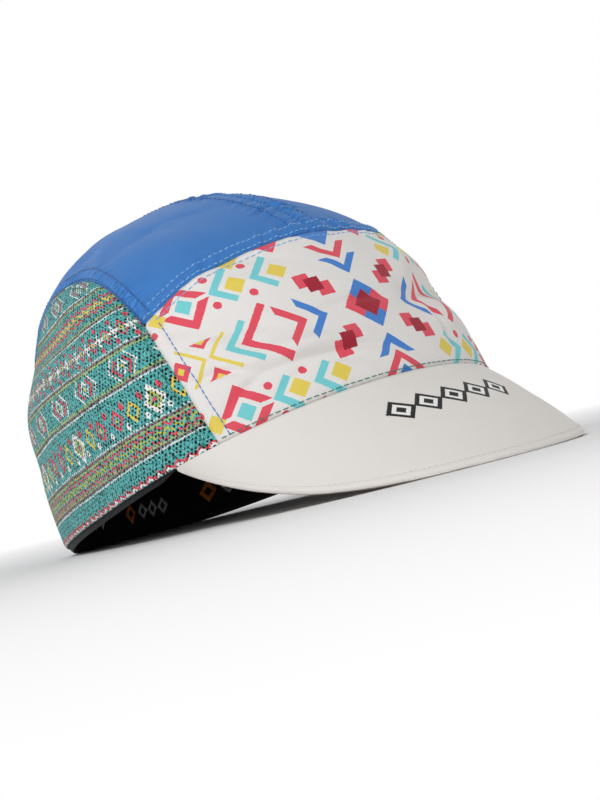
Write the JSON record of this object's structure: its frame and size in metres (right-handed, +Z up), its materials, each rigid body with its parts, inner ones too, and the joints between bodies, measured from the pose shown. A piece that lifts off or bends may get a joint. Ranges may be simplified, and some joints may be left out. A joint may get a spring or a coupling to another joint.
{
  "type": "cycling cap",
  "caption": "Soft cycling cap with a printed front panel, a blue top, patterned mesh sides, a short curved cloth peak and an inner sweatband.",
  "frame": {"origin": "on the resting plane, below the middle of the whole cap's box", "axes": "+Z up, the cap's front and peak towards -Y, the wearer's left towards +X"},
  "size_m": [0.1594, 0.2504, 0.1243],
  "materials": {
    "front_cloth": "fine plain-weave off-white cloth with a small geometric print",
    "top_cloth": "smooth blue woven cloth with tonal topstitching",
    "side_mesh": "open knitted mesh with a printed banded pattern on teal",
    "band_cloth": "black elastic band with a small repeated motif",
    "peak_cloth": "smooth cream woven cloth",
    "peak_lining": "warm beige cloth underside"
  },
  "bodies": {
    "root": {"front_panel": "front_cloth", "top_panel_left": "top_cloth", "top_panel_right": "top_cloth", "side_panel_left": "side_mesh", "side_panel_right": "side_mesh", "sweatband": "band_cloth", "peak_top": "peak_cloth", "peak_under": "peak_lining"}
  },
  "joints": []
}
